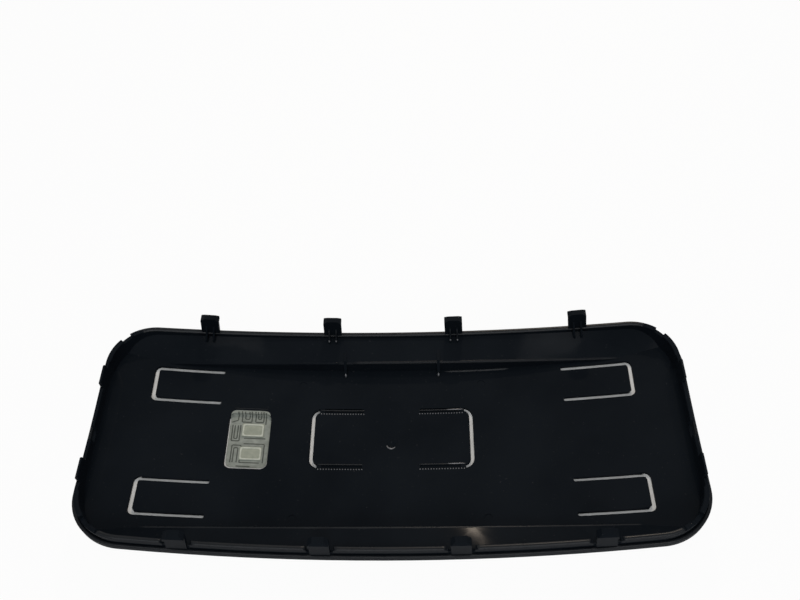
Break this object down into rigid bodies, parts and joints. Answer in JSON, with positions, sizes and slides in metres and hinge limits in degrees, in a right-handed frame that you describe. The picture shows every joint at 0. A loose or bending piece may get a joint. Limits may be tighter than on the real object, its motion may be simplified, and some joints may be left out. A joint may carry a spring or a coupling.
{
  "type": "mirror glass backing plate",
  "caption": "Convex heated mirror glass on a black moulded backing plate, with a rim lip, raised side bands, snap tongues, slots and a window over the heater terminals.",
  "frame": {"origin": "middle of the glass on its front face, the lowest point of the part as it lies on its glass", "axes": "+X along the plate, +Y across it towards the long side that has the two step ribs, +Z from the glass to the back of the plate"},
  "size_m": [0.433, 0.1798, 0.0527],
  "materials": {
    "black_plastic": "moulded black, semi-gloss",
    "mirror": "silvered convex glass",
    "foil": "silver printed film",
    "pad": "tinned, pale"
  },
  "bodies": {
    "root": {"backing_plate": "black_plastic", "mirror_glass": "mirror", "heater_film": "foil", "heater_terminals": "pad"}
  },
  "joints": []
}
